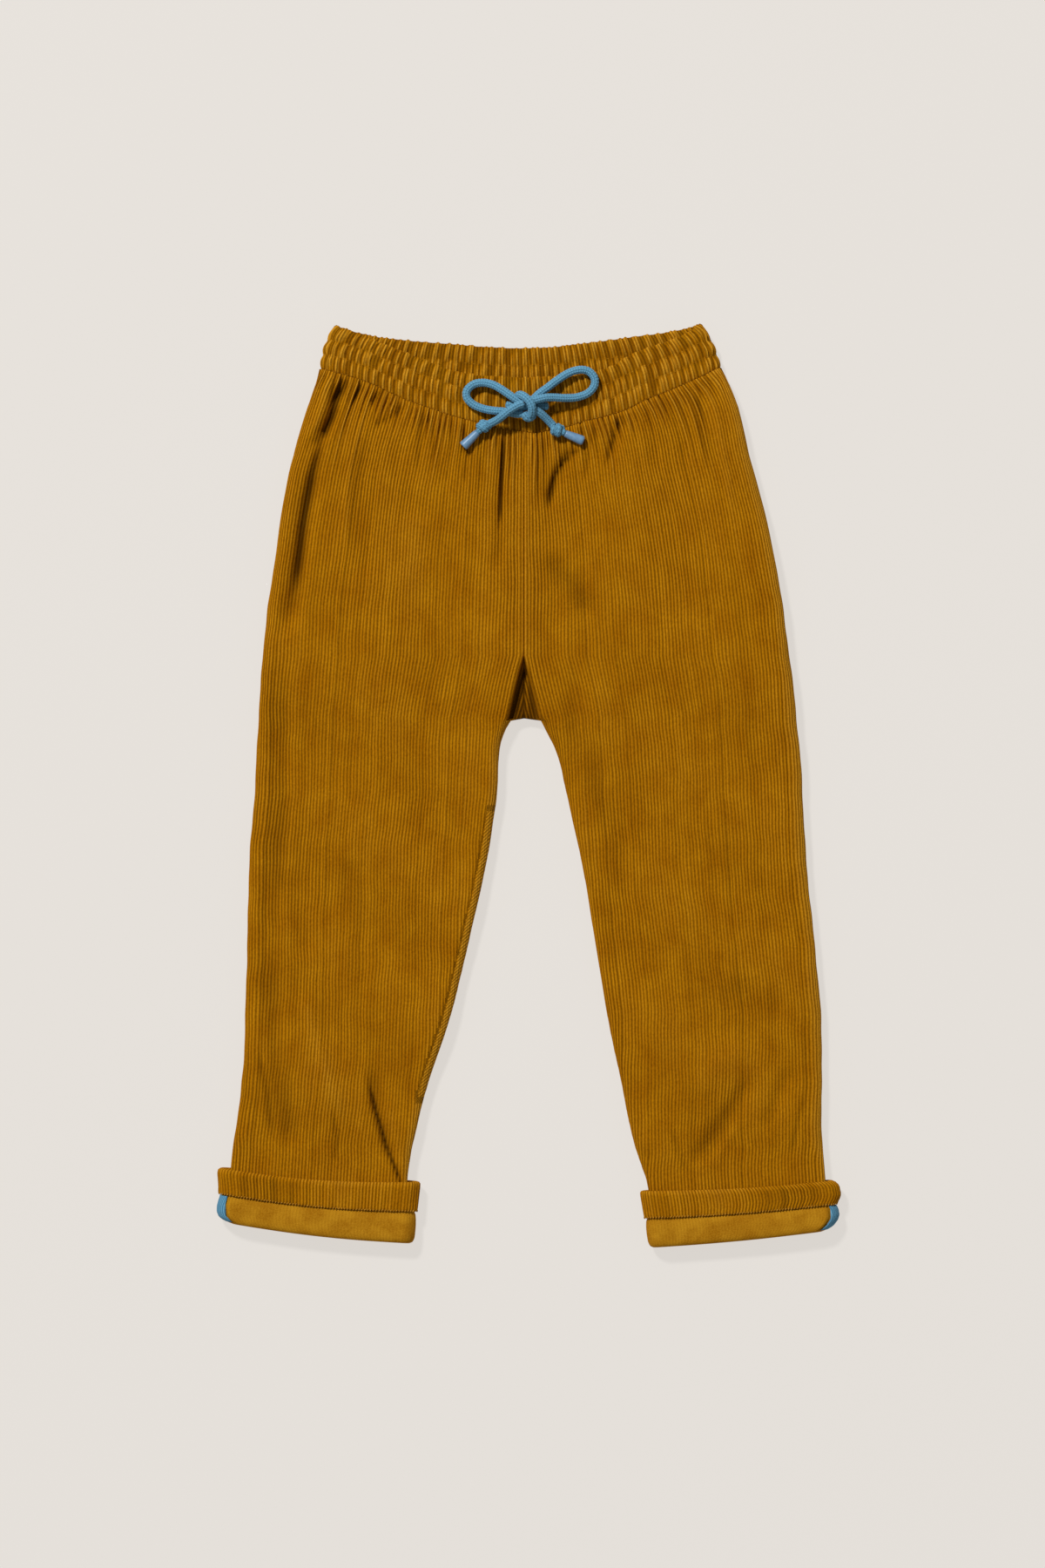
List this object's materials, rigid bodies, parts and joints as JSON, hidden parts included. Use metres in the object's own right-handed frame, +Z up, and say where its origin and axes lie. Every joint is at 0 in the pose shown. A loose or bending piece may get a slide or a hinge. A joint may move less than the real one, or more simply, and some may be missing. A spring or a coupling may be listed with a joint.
{
  "type": "child's corduroy trousers",
  "caption": "Small child's pull-on corduroy trousers laid flat, with a gathered elastic waistband, a drawcord tied in a bow and rolled cuffs.",
  "frame": {"origin": "middle of the footprint, on the surface that the trousers lie on", "axes": "+X towards the picture's right, +Y from the cuffs to the waist, +Z up out of the front of the trousers"},
  "size_m": [0.3589, 0.53, 0.0301],
  "materials": {
    "corduroy": "cut-pile cotton corduroy, about 14 wales to the inch, ochre",
    "corduroy_reverse": "plain woven reverse of the corduroy",
    "seam_tape": "woven cotton seam tape, blue",
    "cord": "braided cotton cord, blue",
    "cord_end": "moulded satin plastic, blue"
  },
  "bodies": {
    "root": {"front_left": "corduroy", "front_right": "corduroy", "back_left": "corduroy", "back_right": "corduroy", "waistband_front": "corduroy", "waistband_back": "corduroy", "hem_left": "corduroy", "hem_right": "corduroy", "turnup_left": "corduroy_reverse", "turnup_right": "corduroy_reverse", "seam_tape_left": "seam_tape", "seam_tape_right": "seam_tape", "drawcord_loop_left": "cord", "drawcord_loop_right": "cord", "drawcord_tail_left": "cord", "drawcord_tail_right": "cord", "drawcord_stub_left": "cord", "drawcord_stub_right": "cord", "drawcord_knot": "cord", "drawcord_stopper_left": "cord", "drawcord_stopper_right": "cord", "cord_end_left": "cord_end", "cord_end_right": "cord_end"}
  },
  "joints": []
}
